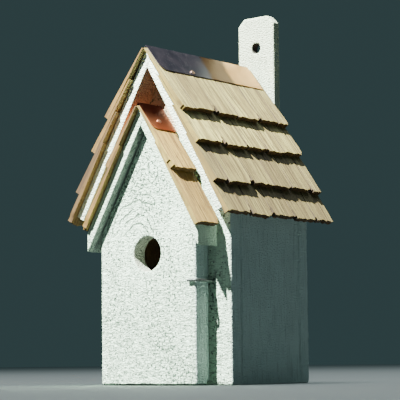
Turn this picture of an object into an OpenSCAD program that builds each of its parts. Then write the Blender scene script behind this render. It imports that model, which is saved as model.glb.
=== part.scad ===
// Gabled birdhouse with a tilt-out front door, a small porch roof over the entrance,
// tapered shingles under folded metal ridge caps, and a board at the back to hang it by.
// Millimetres. X points right, Y points to the back, Z points up.

/* [Door] */

// width of the door
door_w = 134; // [100:1:180]
// thickness of the door, the walls and the floor
wall_t = 19; // [12:0.5:25]
// diameter of the entrance hole
entrance_d = 38.1; // [28:0.1:64]
// height of the entrance hole's centre above the underside
entrance_z = 143; // [100:1:160]
// space between the door's back and the front wall
door_gap = 10; // [9:0.5:14]
// clearance between the door's sloping top edges and the porch roof
door_top_gap = 1; // [0.5:0.1:3]
// how far the door's lower edge is above the underside
door_lift = 1; // [0.5:0.5:3]
// how far the frame behind the door is set in from the door's sides
frame_inset = 3.5; // [2:0.5:8]
// clearance between the door's back and that frame
frame_gap = 0.5; // [0.3:0.1:1.5]

/* [Walls] */

// width of the house over its side walls
house_w = 185.4; // [170:0.1:260]
// depth from the front wall's face to the back wall's rear face
house_d = 146.5; // [120:0.5:220]
// height of the floor's lower face above the underside
floor_z = 6; // [0:1:12]
// size of the drain openings cut off the floor's corners
drain_cut = 12; // [6:1:20]
// width of the clean-out opening behind the door
cleanout_w = 100; // [70:1:110]
// height of the clean-out opening's upper edge above the underside
cleanout_top = 182; // [170:1:190]

/* [Roof] */

// slope of both roofs in degrees
pitch = 60; // [55:1:62]
// thickness of the roof boards
board_t = 11; // [8:0.5:14]
// height of the main roof's inner ridge above the underside
main_ridge_z = 350; // [330:1:380]
// length of a main roof board along its outer face
main_slope = 210; // [190:1:240]
// how far the main boards reach past the front wall
main_front = 27; // [15:1:40]
// how far the main boards reach past the back wall
main_rear = 10.5; // [8:0.5:30]
// height of the porch roof's inner ridge above the underside
porch_ridge_z = 284; // [270:1:290]
// half of the porch roof's width over its plumb-cut ends
porch_reach = 78.5; // [74:0.5:90]
// how far the porch boards reach past the door's face
porch_front = 10; // [5:1:20]
// length of the porch boards from front to back
porch_depth = 34; // [30:0.5:38]

/* [Shingles] */

// thickness of a shingle at its lower end
butt_t = 6; // [4:0.5:8]
// thickness of a shingle at its upper end
head_t = 1.2; // [0.8:0.1:2]
// gap between neighbours in a course
shingle_gap = 1.4; // [0.5:0.1:3]
// how far the shingles reach past the roof boards at the front and rear
shingle_over = 6.5; // [3:0.5:10]

/* [Ridge caps] */

// thickness of the metal sheet
cap_t = 0.8; // [0.5:0.1:1.5]
// width of one side of a ridge cap
cap_w = 37; // [25:1:45]
// radius of a ridge cap's front corners
cap_r = 9; // [4:1:14]

/* [Latch] */

// diameter of the latch hook's wire
hook_d = 3; // [2.4:0.1:3.6]
// height of the latch hook above the underside
hook_z = 112; // [90:1:130]
// distance from the hook's shaft to the end of its bent leg
hook_reach = 11; // [9:1:16]

/* [Hanging board] */

// width of the hanging board
hanger_w = 52; // [40:1:80]
// thickness of the hanging board
hanger_t = 13; // [10:0.5:19]
// height of the hanging board's lower end above the underside
hanger_bottom = 20; // [0:1:60]
// height of the hanging board's upper end above the underside
hanger_top = 438; // [420:1:480]
// size of the corners cut off its upper end
hanger_cut = 9; // [4:1:16]
// height of the hanging hole above the underside
hanging_hole_z = 400; // [390:1:420]
// diameter of the hanging hole
hanging_hole_d = 12; // [8:0.5:16]
// thickness of the block between the back wall and the hanging board
block_t = 30.5; // [20:0.5:60]

/* [Hidden] */

$fn = 48;

// depths, measured back from the door's face
front_y = wall_t + door_gap;
side_y = front_y + wall_t;
rear_y = front_y + house_d;
board_y = rear_y + block_t;
hanger_rear = board_y + hanger_t;
main_y0 = front_y - main_front;
main_y1 = rear_y + main_rear;
porch_y0 = -porch_front;
porch_y1 = porch_y0 + porch_depth;
shingle_porch_y0 = porch_y0 - shingle_over;
centre_y = (hanger_rear + shingle_porch_y0) / 2;

main_top = main_ridge_z + board_t / cos(pitch);
porch_top = porch_ridge_z + board_t / cos(pitch);
porch_slope = porch_reach / cos(pitch);
door_ridge_z = porch_ridge_z - door_top_gap / cos(pitch);
floor_top = floor_z + wall_t;

// shingle courses from the ridge down: slope distances of each upper and lower end
fit_gap = 0.15;
main_heads = [2, 40, 80, 118];
main_butts = [91, 134, 183.5, 221];
porch_heads = [2, 50];
porch_butts_right = [88.5, 157];
porch_butts_left = [78, 155];

// widths of the shingles in each course from front to rear; the last one fills up
main_widths = [
    [23.2, 37.6, 38.7, 42, 35.5],
    [47.6, 40.3, 37.9, 33.1],
    [22.3, 43.6, 40.5, 35.9, 37.8],
    [44.6, 38.2, 40.5, 40.1]
];
// how much longer or shorter than its course each shingle is
main_steps = [
    [0.6, -0.8, 0.3, 1.2, -0.5, 0.4],
    [-0.6, 0.9, -0.2, 1.0, -0.9],
    [0.5, 1.3, -1.0, 0.2, -0.4, 0.8],
    [-0.5, 1.5, -0.8, 0.7, 0.2]
];

hinge_x = 34;
hinge_w = 26;
hinge_h = 18;
hinge_t = 1.2;
knuckle_r = 3.3;
knuckle_gap = 0.3;
pin_r = 1.5;
hinge_play = 0.05;
pivot_y = wall_t + door_gap / 2;
pivot_z = door_lift + 3.4;
frame_z = 4;

hook_x = door_w / 2 + hook_d / 2 + 0.4;
hook_y = -hook_d / 2 - 1;
hook_bend = 3;
hook_depth = 15;

nail_r = 0.9;
nail_len = 16;
nail_head_r = 2.8;
nail_head_t = 0.8;
brad_r = 1.1;
wall_brad = 42;
roof_brad = 32;
porch_brad = 26;
screw_r = 1.1;

block_w = 90;
block_z = 90;
block_h = 120;
long_screw_r = 2;

// ---- helpers ----

// moves from "door face at Y 0" to the part's own frame
module place() {
    translate([0, -centre_y, 0]) children();
}

// pushes an outline drawn in X and Z back from y0 to y1
module prism(y0, y1) {
    translate([0, y1, 0]) rotate([90, 0, 0]) linear_extrude(y1 - y0) children();
}

// a rod along Y whose axis is at x and z
module rod_y(x, z, y0, y1, r) {
    translate([x, y1, z]) rotate([90, 0, 0]) cylinder(r = r, h = y1 - y0);
}

// mirrors to the left side when side is -1
module on_side(side) {
    if (side < 0) mirror([1, 0, 0]) children();
    else children();
}

// X and Z of a point on the right slope: s down the slope, n out from the board
function on_slope(s, n, top) = [
    s * cos(pitch) + n * sin(pitch),
    top - s * sin(pitch) + n * cos(pitch)
];

// outline of a wall under a gable: width w, ridge at z, lower edge at z0
module gable(w, ridge, z0 = 0) {
    eave = ridge - w / 2 * tan(pitch);
    polygon([[-w / 2, z0], [w / 2, z0], [w / 2, eave], [0, ridge], [-w / 2, eave]]);
}

// ---- door ----

module door_panel() color([0.92, 0.95, 0.93]) place() difference() {
    prism(0, wall_t) gable(door_w, door_ridge_z, door_lift);
    rod_y(0, entrance_z, -1, wall_t + 1, entrance_d / 2);
}

// the frame that the door closes against and that carries the porch boards
module door_frame() color([0.86, 0.9, 0.88]) place() difference() {
    prism(wall_t + frame_gap, front_y)
        intersection() {
            gable(2 * porch_reach, porch_ridge_z, frame_z);
            translate([-door_w / 2 + frame_inset, 0]) square([door_w - 2 * frame_inset, 400]);
        }
    translate([-cleanout_w / 2, 0, 0]) cube([cleanout_w, front_y + 1, cleanout_top]);
}

// ---- walls and floor ----

module front_wall() color([0.9, 0.93, 0.91]) place() difference() {
    prism(front_y, side_y) gable(house_w, main_ridge_z);
    translate([-cleanout_w / 2, front_y - 1, floor_top])
        cube([cleanout_w, wall_t + 2, cleanout_top - floor_top]);
    rod_y(hook_x, hook_z, front_y - 1, front_y + hook_depth + 1, hook_d / 2 + hinge_play);
}

module back_wall() color([0.9, 0.93, 0.91]) place()
    prism(rear_y - wall_t, rear_y) gable(house_w, main_ridge_z);

module side_wall() {
    inner = house_w / 2 - wall_t;
    prism(side_y, rear_y - wall_t)
        polygon([
            [inner, 0], [house_w / 2, 0],
            [house_w / 2, main_ridge_z - house_w / 2 * tan(pitch)],
            [inner, main_ridge_z - inner * tan(pitch)]
        ]);
}

module left_wall() color([0.88, 0.91, 0.9]) place() on_side(-1) side_wall();

module right_wall() color([0.88, 0.91, 0.9]) place() on_side(1) side_wall();

module floor_panel() color([0.8, 0.7, 0.52]) place() {
    half = house_w / 2 - wall_t;
    y0 = side_y;
    y1 = rear_y - wall_t;
    c = drain_cut;
    translate([0, 0, floor_z]) linear_extrude(wall_t)
        polygon([
            [-half, y0 + c], [-half + c, y0], [half - c, y0], [half, y0 + c],
            [half, y1 - c], [half - c, y1], [-half + c, y1], [-half, y1 - c]
        ]);
}

// ---- roof boards ----

// the left board runs through to the ridge and the right one butts against it
function ridge_step() = board_t / sin(pitch) / 2;

module left_board(ridge, top, slope, plumb) {
    b = [-ridge_step(), ridge + board_t / cos(pitch) / 2];
    lower = plumb
        ? [[porch_reach, top - porch_reach * tan(pitch)],
           [porch_reach, ridge - porch_reach * tan(pitch)]]
        : [on_slope(slope, 0, top), on_slope(slope, -board_t, top)];
    on_side(-1) polygon([b, [0, top], lower[0], lower[1], [0, ridge]]);
}

module right_board(ridge, top, slope, plumb) {
    b = [ridge_step(), ridge + board_t / cos(pitch) / 2];
    lower = plumb
        ? [[porch_reach, top - porch_reach * tan(pitch)],
           [porch_reach, ridge - porch_reach * tan(pitch)]]
        : [on_slope(slope, 0, top), on_slope(slope, -board_t, top)];
    polygon([[0, ridge], b, lower[0], lower[1]]);
}

module main_roof_board_left() color([0.86, 0.87, 0.82]) place()
    prism(main_y0, main_y1) left_board(main_ridge_z, main_top, main_slope, false);

module main_roof_board_right() color([0.86, 0.87, 0.82]) place()
    prism(main_y0, main_y1) right_board(main_ridge_z, main_top, main_slope, false);

module porch_roof_board_left() color([0.86, 0.87, 0.82]) place()
    prism(porch_y0, porch_y1) left_board(porch_ridge_z, porch_top, 0, true);

module porch_roof_board_right() color([0.86, 0.87, 0.82]) place()
    prism(porch_y0, porch_y1) right_board(porch_ridge_z, porch_top, 0, true);

// ---- shingles ----

// each course rests on the one below it: the height over the board of its underside
// at its lower end, then the height of its upper face at slope distance s
function lift(heads, butts, i) =
    i == len(butts) - 1 ? 0 : upper_face(heads, butts, i + 1, butts[i]) + fit_gap;
function upper_face(heads, butts, i, s) =
    head_t + (lift(heads, butts, i) + butt_t - head_t)
        * (s - heads[i]) / (butts[i] - heads[i]);
function under_face(heads, butts, i, s) =
    lift(heads, butts, i) * (s - heads[i]) / (butts[i] - heads[i]);

// one tapered shingle of course i, from y0 to y1, that ends step below its course's line
module shingle(top, heads, butts, i, step, y0, y1) {
    s = butts[i] + step;
    prism(y0, y1) polygon([
        on_slope(heads[i], 0, top),
        on_slope(heads[i], head_t, top),
        on_slope(s, upper_face(heads, butts, i, s), top),
        on_slope(s, under_face(heads, butts, i, s), top)
    ]);
}

function start_of(widths, i) = i == 0 ? 0 : start_of(widths, i - 1) + widths[i - 1];

module main_course(side, i) color([0.78, 0.68, 0.5]) place() on_side(side) {
    k = side > 0 ? i : (i + 2) % 4;
    widths = main_widths[k];
    last = len(widths);
    y0 = main_y0 - shingle_over;
    y1 = main_y1 + shingle_over;
    for (j = [0 : last])
        shingle(
            main_top, main_heads, main_butts, i, main_steps[k][j],
            y0 + start_of(widths, j),
            j == last ? y1 : y0 + start_of(widths, j + 1) - shingle_gap
        );
}

module porch_course(side, i) color([0.78, 0.68, 0.5]) place() on_side(side)
    shingle(
        porch_top, porch_heads, side > 0 ? porch_butts_right : porch_butts_left,
        i, 0, shingle_porch_y0, porch_y1
    );

module main_shingles_left_1() main_course(-1, 0);
module main_shingles_left_2() main_course(-1, 1);
module main_shingles_left_3() main_course(-1, 2);
module main_shingles_left_4() main_course(-1, 3);
module main_shingles_right_1() main_course(1, 0);
module main_shingles_right_2() main_course(1, 1);
module main_shingles_right_3() main_course(1, 2);
module main_shingles_right_4() main_course(1, 3);
module porch_shingles_left_1() porch_course(-1, 0);
module porch_shingles_left_2() porch_course(-1, 1);
module porch_shingles_right_1() porch_course(1, 0);
module porch_shingles_right_2() porch_course(1, 1);

// ---- ridge caps ----

// the steepness of the first course's upper face
function cap_slope(heads, butts) =
    pitch - atan((upper_face(heads, butts, 0, butts[0]) - head_t) / (butts[0] - heads[0]));

// a folded sheet from y0 to y1 that lies on the first course, with rounded front corners
module ridge_cap(top, heads, butts, y0, y1) {
    slope = cap_slope(heads, butts);
    head = on_slope(heads[0], head_t + fit_gap, top);
    inner = head[1] + head[0] * tan(slope);
    for (side = [-1, 1]) on_side(side) intersection() {
        prism(y0, y1) polygon([
            [0, inner], [0, inner + cap_t / cos(slope)],
            [cap_w * cos(slope) + cap_t * sin(slope), inner - cap_w * sin(slope) + cap_t * cos(slope)],
            [cap_w * cos(slope), inner - cap_w * sin(slope)]
        ]);
        translate([0, 0, inner]) rotate([0, slope, 0]) translate([0, 0, -cap_t])
            linear_extrude(3 * cap_t) union() {
                translate([-5, y0]) square([cap_w + 5 - cap_r, y1 - y0]);
                translate([-5, y0 + cap_r]) square([cap_w + 5, y1 - y0 - cap_r]);
                translate([cap_w - cap_r, y0 + cap_r]) circle(cap_r);
            }
    }
}

module main_ridge_cap() color([0.72, 0.42, 0.28]) place()
    ridge_cap(main_top, main_heads, main_butts, main_y0 - 2, main_y1 + 2);

module porch_ridge_cap() color([0.72, 0.42, 0.28]) place()
    ridge_cap(porch_top, porch_heads, porch_butts_left, porch_y0 - 4, porch_y1 + 2);

// a nail square to a ridge cap: its head lies on the sheet w down from the fold
module cap_nail(top, heads, butts, w, y) {
    slope = cap_slope(heads, butts);
    head = on_slope(heads[0], head_t + fit_gap, top);
    inner = head[1] + head[0] * tan(slope);
    translate([0, y, inner]) rotate([0, slope, 0]) translate([w, 0, cap_t]) {
        cylinder(r = nail_head_r, h = nail_head_t);
        translate([0, 0, -nail_len]) cylinder(r = nail_r, h = nail_len);
    }
}

module ridge_cap_nails() color([0.6, 0.38, 0.25]) place() for (side = [-1, 1]) on_side(side) {
    cap_nail(main_top, main_heads, main_butts, cap_w - 5, main_y0 + 56);
    cap_nail(porch_top, porch_heads, porch_butts_left, cap_w - 12, porch_y0 + 14);
}

// ---- latch ----

// a wire with a square bend, whose shaft turns in the front wall
module latch_hook() color([0.72, 0.73, 0.75]) place() {
    r = hook_d / 2;
    rod_y(hook_x, hook_z, hook_y + hook_bend, front_y + hook_depth, r);
    translate([hook_x - hook_bend, hook_y + hook_bend, hook_z])
        rotate([0, 0, -90]) rotate_extrude(angle = 90) translate([hook_bend, 0]) circle(r);
    translate([hook_x - hook_reach, hook_y, hook_z]) rotate([0, 90, 0])
        cylinder(r = r, h = hook_reach - hook_bend);
}

// ---- hinges ----

// one knuckle around the pivot, from x0 to x1 beside the hinge's centre
module knuckle(x0, x1, bore) {
    translate([x0, pivot_y, pivot_z]) rotate([0, 90, 0]) difference() {
        cylinder(r = knuckle_r, h = x1 - x0);
        translate([0, 0, -1]) cylinder(r = bore, h = x1 - x0 + 2);
    }
}

// a leaf against the door's back (side -1) or the wall's face (side 1)
module leaf(side, spans, bore) {
    y0 = side < 0 ? wall_t : front_y - hinge_t;
    difference() {
        union() {
            translate([-hinge_w / 2, y0, pivot_z + knuckle_r + 0.8])
                cube([hinge_w, hinge_t, hinge_h]);
            for (x = spans) {
                knuckle(x[0], x[1], bore);
                translate([x[0], side < 0 ? y0 : pivot_y + bore, pivot_z])
                    cube([x[1] - x[0], side < 0 ? pivot_y - bore - y0 : front_y - pivot_y - bore,
                        knuckle_r + 1.8]);
            }
        }
        translate([-hinge_w, pivot_y, pivot_z]) rotate([0, 90, 0])
            cylinder(r = bore, h = 2 * hinge_w);
        screw_pair(side);
    }
}

// the two screws that hold a leaf to the door (side -1) or to the front wall (side 1)
module screw_pair(side) {
    face = side < 0 ? wall_t + hinge_t : front_y - hinge_t;
    for (x = [-8, 8])
        translate([x, face, pivot_z + 14]) rotate([side < 0 ? 90 : -90, 0, 0]) {
            cylinder(r1 = 2.2, r2 = screw_r, h = 1);
            cylinder(r = screw_r, h = 12);
        }
}

// where a hinge's door knuckle and its two wall knuckles are
door_span = [[-hinge_w / 6, hinge_w / 6]];
wall_spans = [
    [-hinge_w / 2, -hinge_w / 6 - knuckle_gap],
    [hinge_w / 6 + knuckle_gap, hinge_w / 2]
];

module at_hinges() for (x = [-hinge_x, hinge_x]) translate([x, 0, 0]) children();

module hinge_wall_leaves() color([0.7, 0.7, 0.7]) place() at_hinges()
    leaf(1, wall_spans, pin_r);

module hinge_door_leaves() color([0.7, 0.7, 0.7]) place() at_hinges()
    leaf(-1, door_span, pin_r + hinge_play);

module hinge_pins() color([0.6, 0.6, 0.6]) place() at_hinges()
    translate([-hinge_w / 2, pivot_y, pivot_z]) rotate([0, 90, 0])
        cylinder(r = pin_r, h = hinge_w);

module hinge_screws_wall() color([0.65, 0.65, 0.65]) place() at_hinges() screw_pair(1);

module hinge_screws_door() color([0.65, 0.65, 0.65]) place() at_hinges() screw_pair(-1);

// ---- nails, block and hanging board ----

// a headless nail driven flush, straight down from the origin
module brad(length) {
    translate([0, 0, -length]) cylinder(r = brad_r, h = length);
}

module wall_nails() color([0.75, 0.77, 0.76]) place()
    for (side = [-1, 1]) on_side(side) {
        for (z = [35, 95, 155]) {
            translate([(house_w - wall_t) / 2, front_y, z]) rotate([90, 0, 0]) brad(wall_brad);
            translate([(house_w - wall_t) / 2, rear_y, z]) rotate([-90, 0, 0]) brad(wall_brad);
        }
        for (y = [side_y + 28, rear_y - wall_t - 28])
            translate([house_w / 2, y, floor_z + wall_t / 2])
                rotate([0, 90, 0]) brad(wall_brad);
    }

module roof_nails() color([0.7, 0.7, 0.7]) place()
    for (side = [-1, 1], s = [80, 125, 170], y = [front_y + wall_t / 2, rear_y - wall_t / 2]) {
        p = on_slope(s, 0, main_top);
        on_side(side) translate([p[0], y, p[1]]) rotate([0, pitch, 0]) brad(roof_brad);
    }

module porch_nails() color([0.7, 0.7, 0.7]) place()
    for (side = [-1, 1], s = [60, 100]) {
        p = on_slope(s, 0, porch_top);
        on_side(side) translate([p[0], porch_y1 - 2.2, p[1]]) rotate([0, pitch, 0])
            brad(porch_brad);
    }

module spacer_block() color([0.85, 0.86, 0.82]) place()
    translate([-block_w / 2, rear_y, block_z]) cube([block_w, block_t, block_h]);

module spacer_screws() color([0.7, 0.7, 0.7]) place()
    for (x = [-28, 28], z = [block_z + 30, block_z + block_h - 30])
        translate([x, rear_y - wall_t, z]) rotate([-90, 0, 0]) {
            cylinder(r1 = 4, r2 = long_screw_r, h = 3);
            cylinder(r = long_screw_r, h = wall_t + 24);
        }

module hanging_board() color([0.9, 0.92, 0.9]) place() difference() {
    prism(board_y, hanger_rear) polygon([
        [-hanger_w / 2, hanger_bottom], [hanger_w / 2, hanger_bottom],
        [hanger_w / 2, hanger_top - hanger_cut], [hanger_w / 2 - hanger_cut, hanger_top],
        [-hanger_w / 2 + hanger_cut, hanger_top], [-hanger_w / 2, hanger_top - hanger_cut]
    ]);
    rod_y(0, hanging_hole_z, board_y - 1, hanger_rear + 1, hanging_hole_d / 2);
}

module hanging_board_screws() color([0.7, 0.7, 0.7]) place()
    for (z = [block_z + 25, block_z + block_h - 25])
        translate([0, hanger_rear, z]) rotate([90, 0, 0]) {
            cylinder(r1 = 4, r2 = long_screw_r, h = 3);
            cylinder(r = long_screw_r, h = hanger_t + 25);
        }

door_panel();
door_frame();
front_wall();
back_wall();
left_wall();
right_wall();
floor_panel();
main_roof_board_left();
main_roof_board_right();
porch_roof_board_left();
porch_roof_board_right();
main_shingles_left_1();
main_shingles_left_2();
main_shingles_left_3();
main_shingles_left_4();
main_shingles_right_1();
main_shingles_right_2();
main_shingles_right_3();
main_shingles_right_4();
porch_shingles_left_1();
porch_shingles_left_2();
porch_shingles_right_1();
porch_shingles_right_2();
main_ridge_cap();
porch_ridge_cap();
ridge_cap_nails();
latch_hook();
hinge_wall_leaves();
hinge_door_leaves();
hinge_pins();
hinge_screws_wall();
hinge_screws_door();
wall_nails();
roof_nails();
porch_nails();
spacer_block();
spacer_screws();
hanging_board();
hanging_board_screws();
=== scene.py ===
# %% [markdown]
# # A cedar-shingled birdhouse
# The carpentry of this nest box comes in as an exact frame: every board, shingle,
# hinge and screw already has its true size and place, in metres, with X to the right,
# Y towards the back and Z up. In this lesson each of those plain solids is rebuilt or
# repainted until it looks like sawn, painted, weathered wood and folded copper.
# The frame's box is kept from the start.

# %% Load the frame
import bpy
import math
import random
from mathutils import Matrix, Vector


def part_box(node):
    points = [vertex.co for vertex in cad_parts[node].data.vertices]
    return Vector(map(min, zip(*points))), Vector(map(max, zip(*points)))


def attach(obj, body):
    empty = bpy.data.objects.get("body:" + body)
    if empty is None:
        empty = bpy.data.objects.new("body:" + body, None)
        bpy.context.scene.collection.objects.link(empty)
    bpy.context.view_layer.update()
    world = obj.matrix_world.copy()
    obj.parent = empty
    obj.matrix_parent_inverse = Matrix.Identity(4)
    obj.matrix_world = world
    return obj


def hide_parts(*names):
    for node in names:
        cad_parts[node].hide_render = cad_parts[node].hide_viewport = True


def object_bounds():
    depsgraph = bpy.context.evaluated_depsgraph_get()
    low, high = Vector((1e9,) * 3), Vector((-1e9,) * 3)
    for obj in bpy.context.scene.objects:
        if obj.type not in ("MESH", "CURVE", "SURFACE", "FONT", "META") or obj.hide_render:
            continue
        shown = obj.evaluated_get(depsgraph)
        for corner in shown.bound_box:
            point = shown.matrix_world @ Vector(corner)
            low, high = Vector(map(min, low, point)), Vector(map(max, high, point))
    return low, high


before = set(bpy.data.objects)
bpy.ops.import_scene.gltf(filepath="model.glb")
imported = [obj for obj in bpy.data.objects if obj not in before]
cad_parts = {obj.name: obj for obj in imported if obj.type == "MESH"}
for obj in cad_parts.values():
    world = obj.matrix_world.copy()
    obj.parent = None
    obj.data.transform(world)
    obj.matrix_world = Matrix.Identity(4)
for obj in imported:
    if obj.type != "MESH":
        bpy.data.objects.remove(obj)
cad_box = [list(corner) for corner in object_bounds()]
print("frame box in mm:", [[round(1000 * v, 1) for v in corner] for corner in cad_box])

# %% [markdown]
# ## Where things are
# Everything is placed from the frame's own boxes, so a change in the carpentry carries
# through. The door's front face is the plane that depths are measured from, and both
# roofs share one pitch, 60 degrees.

# %% Measure the frame
MM = 0.001
PITCH = math.radians(60)
door_low, door_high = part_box("door_panel")
face_y = door_low[1]
wall_low, wall_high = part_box("front_wall")
ridge_z = wall_high[2]
print("door face at y", round(face_y / MM, 1), "mm, ridge at z", round(ridge_z / MM, 1), "mm")
print("house", round((wall_high[0] - wall_low[0]) / MM, 1), "mm wide")

# %% [markdown]
# ## The camera
# A long lens from well back keeps upright edges nearly parallel, as if the house were
# seen from across a garden. The camera stands low, just above the level of the house's
# underside and well round to the right, and looks slightly up. Three turns are
# multiplied together: the lens is rolled a hair, tipped up, and then swung to the left.

# %% Set up the camera
def add_camera(place, azimuth, tilt, roll, lens):
    data = bpy.data.cameras.new("camera")
    data.lens, data.sensor_width = lens, 36
    data.clip_start, data.clip_end = 0.05, 50
    camera = bpy.data.objects.new("camera", data)
    bpy.context.scene.collection.objects.link(camera)
    camera.matrix_world = (
        Matrix.Translation(place)
        @ Matrix.Rotation(math.radians(azimuth), 4, "Z")
        @ Matrix.Rotation(math.radians(90 + tilt), 4, "X")
        @ Matrix.Rotation(math.radians(-roll), 4, "Z")
    )
    bpy.context.scene.camera = camera
    return camera


camera = add_camera(
    (1.1722, face_y - 1.3972, 0.0257), azimuth=38.16, tilt=5.51, roll=0.57, lens=150.3
)
print("camera at", [round(v, 3) for v in camera.location])

# %% [markdown]
# ## Studio light
# A small round lamp stands high in front, a little to the left. Its steep, raking light
# is what shows rough-sawn wood best: every pit gets a tiny shadow, the shingles throw
# ragged shadows down the roof, and the right-hand wall stays in cool shade. A panel
# behind lights the back and the left side for anyone who walks round, a large blue one
# overhead stands for open sky, one more is kept for the floor, and a dim blue-green
# world lifts the rest.

# %% Light the studio
def add_panel(name, place, aim, size, power, colour):
    data = bpy.data.lights.new(name, "AREA")
    data.shape, data.size, data.energy, data.color = "DISK", size, power, colour
    lamp = bpy.data.objects.new(name, data)
    bpy.context.scene.collection.objects.link(lamp)
    lamp.location = place
    lamp.rotation_euler = (Vector(aim) - Vector(place)).to_track_quat("-Z", "Y").to_euler()
    return lamp


target = Vector((0, 0, 0.2))
key_place = target + Vector((-0.18, -1.0, 1.45)) * 2.1
key = add_panel("key", key_place, target, 0.1, 1850, (0.95, 1.0, 0.90))
behind = add_panel("behind", (-1.7, 2.4, 1.3), target, 1.2, 110, (0.92, 0.97, 1.0))
sky = add_panel("sky", (0.5, -0.3, 3.0), target, 2.0, 52, (0.62, 0.74, 1.0))
glow = add_panel("floor_glow", (0, 0, 3.5), (0, 0, 0), 2.5, 70, (0.95, 1.0, 1.0))

world = bpy.data.worlds.new("studio")
world.use_nodes = True
background = world.node_tree.nodes["Background"].inputs
background["Color"].default_value = (0.46, 0.84, 0.88, 1)
background["Strength"].default_value = 0.066
bpy.context.scene.world = world

# %% [markdown]
# ## Writing a finish
# A finish is a small web of nodes, and a few helpers keep each one short. `node` adds a
# node and fills or wires its inputs, `noise` stretches a cloudy pattern along chosen
# directions, `level` keeps only the part of a pattern between two values, `calc` and
# `product` do sums, `blend` lays one colour over another, and `raise_surface` turns a
# pattern into bumps.

# %% Helpers for finishes
def new_finish(name, roughness, metallic=0.0):
    finish = bpy.data.materials.new(name)
    finish.use_nodes = True
    shader = finish.node_tree.nodes["Principled BSDF"]
    shader.inputs["Roughness"].default_value = roughness
    shader.inputs["Metallic"].default_value = metallic
    return finish, finish.node_tree, shader


def node(tree, kind, inputs, **settings):
    made = tree.nodes.new("ShaderNode" + kind)
    for key, value in settings.items():
        setattr(made, key, value)
    for socket, value in inputs.items():
        if isinstance(value, bpy.types.NodeSocket):
            tree.links.new(value, made.inputs[socket])
        else:
            made.inputs[socket].default_value = value
    return made


def noise(tree, at, stretch, detail=2.0, shift=(0, 0, 0), swirl=0.0):
    placed = node(tree, "Mapping", {"Vector": at, "Location": shift, "Scale": stretch})
    cloud = node(
        tree, "TexNoise",
        {"Vector": placed.outputs[0], "Scale": 1, "Detail": detail, "Distortion": swirl},
    )
    return cloud.outputs[0]


def level(tree, value, low, high, to_low=0.0, to_high=1.0):
    made = node(
        tree, "MapRange",
        {"Value": value, "From Min": low, "From Max": high, "To Min": to_low, "To Max": to_high},
    )
    return made.outputs[0]


def calc(tree, operation, a, b=0.0):
    return node(tree, "Math", {0: a, 1: b}, operation=operation).outputs[0]


def product(tree, a, b):
    return calc(tree, "MULTIPLY", a, b)


def blend(tree, amount, under, over):
    made = node(tree, "Mix", {0: amount}, data_type="RGBA")
    for socket, colour in ((6, under), (7, over)):
        if isinstance(colour, bpy.types.NodeSocket):
            tree.links.new(colour, made.inputs[socket])
        else:
            made.inputs[socket].default_value = (*colour, 1)
    return made.outputs[2]


def raise_surface(tree, shader, height, depth, strength=1.0):
    bump = node(tree, "Bump", {"Height": height, "Distance": depth, "Strength": strength})
    tree.links.new(bump.outputs[0], shader.inputs["Normal"])


print("finish helpers ready")

# %% [markdown]
# ## The floor, and which lamp lights what
# The house stands on a plain pale floor. Under the key light such a floor would throw
# light straight back up and spoil the cool shade on the walls. Light linking solves
# that: a lamp can be told to leave some objects out, or to light nothing else. The key
# light and the panel behind leave the floor out, and the floor gets a glow of its own.

# %% Lay the floor
FLOOR_SIZE, FLOOR_DROP = 12, 0.0002


def add_floor():
    bpy.ops.object.select_all(action="DESELECT")
    bpy.ops.mesh.primitive_plane_add(size=FLOOR_SIZE, location=(0, 0, cad_box[0][2] - FLOOR_DROP))
    floor = bpy.context.object
    floor.name = "floor"
    paint, tree, shader = new_finish("pale_floor", 0.8)
    at = node(tree, "TexCoord", {}).outputs["Object"]
    mottle = noise(tree, at, (3, 3, 3), 4)
    shade = blend(tree, mottle, (0.50, 0.55, 0.55), (0.54, 0.59, 0.59))
    tree.links.new(shade, shader.inputs["Base Color"])
    floor.data.materials.append(paint)
    return floor


def light_only(lamp, objects, link_state):
    lit = bpy.data.collections.new(lamp.name + "_" + link_state.lower())
    for obj in objects:
        lit.objects.link(obj)
    for member in lit.collection_objects:
        member.light_linking.link_state = link_state
    lamp.light_linking.receiver_collection = lit


floor = add_floor()
light_only(key, [floor], "EXCLUDE")
light_only(behind, [floor], "EXCLUDE")
light_only(glow, [floor], "INCLUDE")
print("floor laid at z", round(floor.location.z / MM, 1), "mm")

# %% [markdown]
# ## The arches over the entrance
# The door was cut through the heart of a branch, so its grain stands up as a nest of
# arches above the hole. They could be drawn one by one, but a formula is shorter: the
# distance from the heart, a little wobbly, goes through a sine wave, and only the crests
# are kept. Four masks then keep the arches above the heart, close to it and towards its
# left, and break them up here and there, as thick paint does.

# %% Growth arches
HEART_X, HEART_Z = -0.014, 0.156
RING_GAP = 0.0082


def growth_arches(tree, at):
    parts = node(tree, "SeparateXYZ", {"Vector": at}).outputs
    wobble = product(tree, noise(tree, at, (60, 60, 80), 3), 0.012)
    aside = product(tree, calc(tree, "SUBTRACT", parts[0], HEART_X), 1.2)
    up = calc(tree, "SUBTRACT", parts[2], HEART_Z)
    squares = calc(tree, "ADD", product(tree, aside, aside), product(tree, up, up))
    ring = calc(tree, "ADD", calc(tree, "SQRT", squares), wobble)
    wave = calc(tree, "SINE", product(tree, ring, 2 * math.pi / RING_GAP))
    groove = level(tree, wave, 0.60, 0.92)
    above = level(tree, up, 0.004, 0.012)
    close = level(tree, ring, 0.074, 0.058)
    leftward = level(tree, parts[0], 0.022, 0.004)
    patchy = level(tree, noise(tree, at, (60, 60, 90), 2, (4, 4, 4)), 0.34, 0.50)
    for mask in (above, close, leftward, patchy):
        groove = product(tree, groove, mask)
    return product(tree, groove, 0.85)


print("arches around x", HEART_X / MM, "and z", HEART_Z / MM, "mm")
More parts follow.
